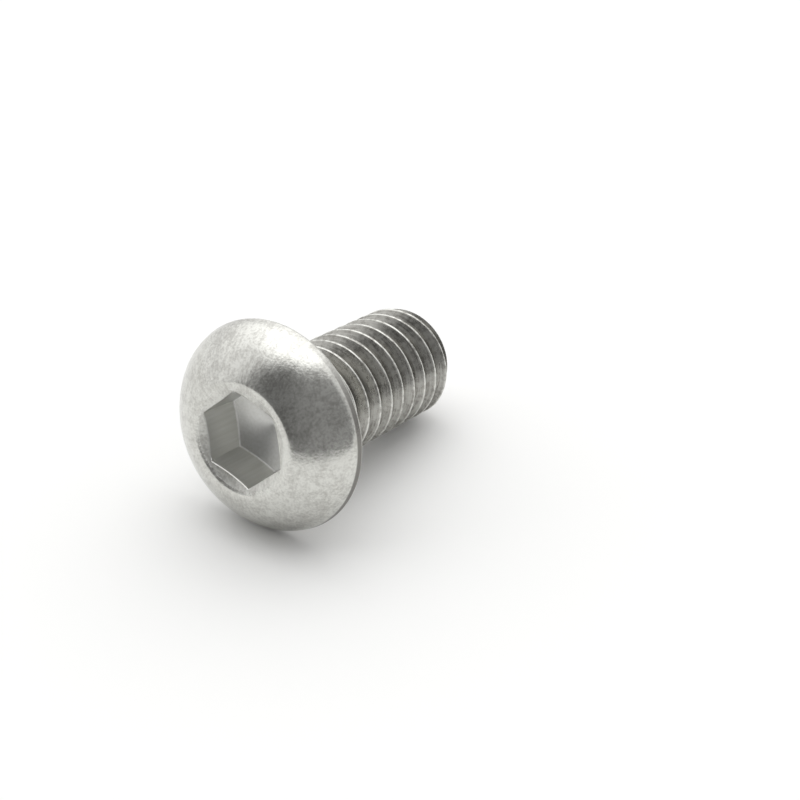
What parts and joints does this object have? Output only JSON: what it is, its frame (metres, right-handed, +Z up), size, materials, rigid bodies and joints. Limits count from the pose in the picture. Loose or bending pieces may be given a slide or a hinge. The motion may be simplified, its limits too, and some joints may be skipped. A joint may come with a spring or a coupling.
{
  "type": "button-head socket screw",
  "caption": "Stainless steel machine screw with a low domed button head, a countersunk hexagon socket and a right-hand thread that fades into a plain neck.",
  "frame": {"origin": "on the ground under the middle of the lying screw's box", "axes": "+Z up, +X along the ground from the head towards the tip; the screw lies on its head's rim and the last full crest of its thread"},
  "size_m": [0.015, 0.0104, 0.0103],
  "materials": {
    "stainless_steel": "bright tumbled stainless steel"
  },
  "bodies": {
    "root": {"button_head_screw": "stainless_steel"}
  },
  "joints": []
}
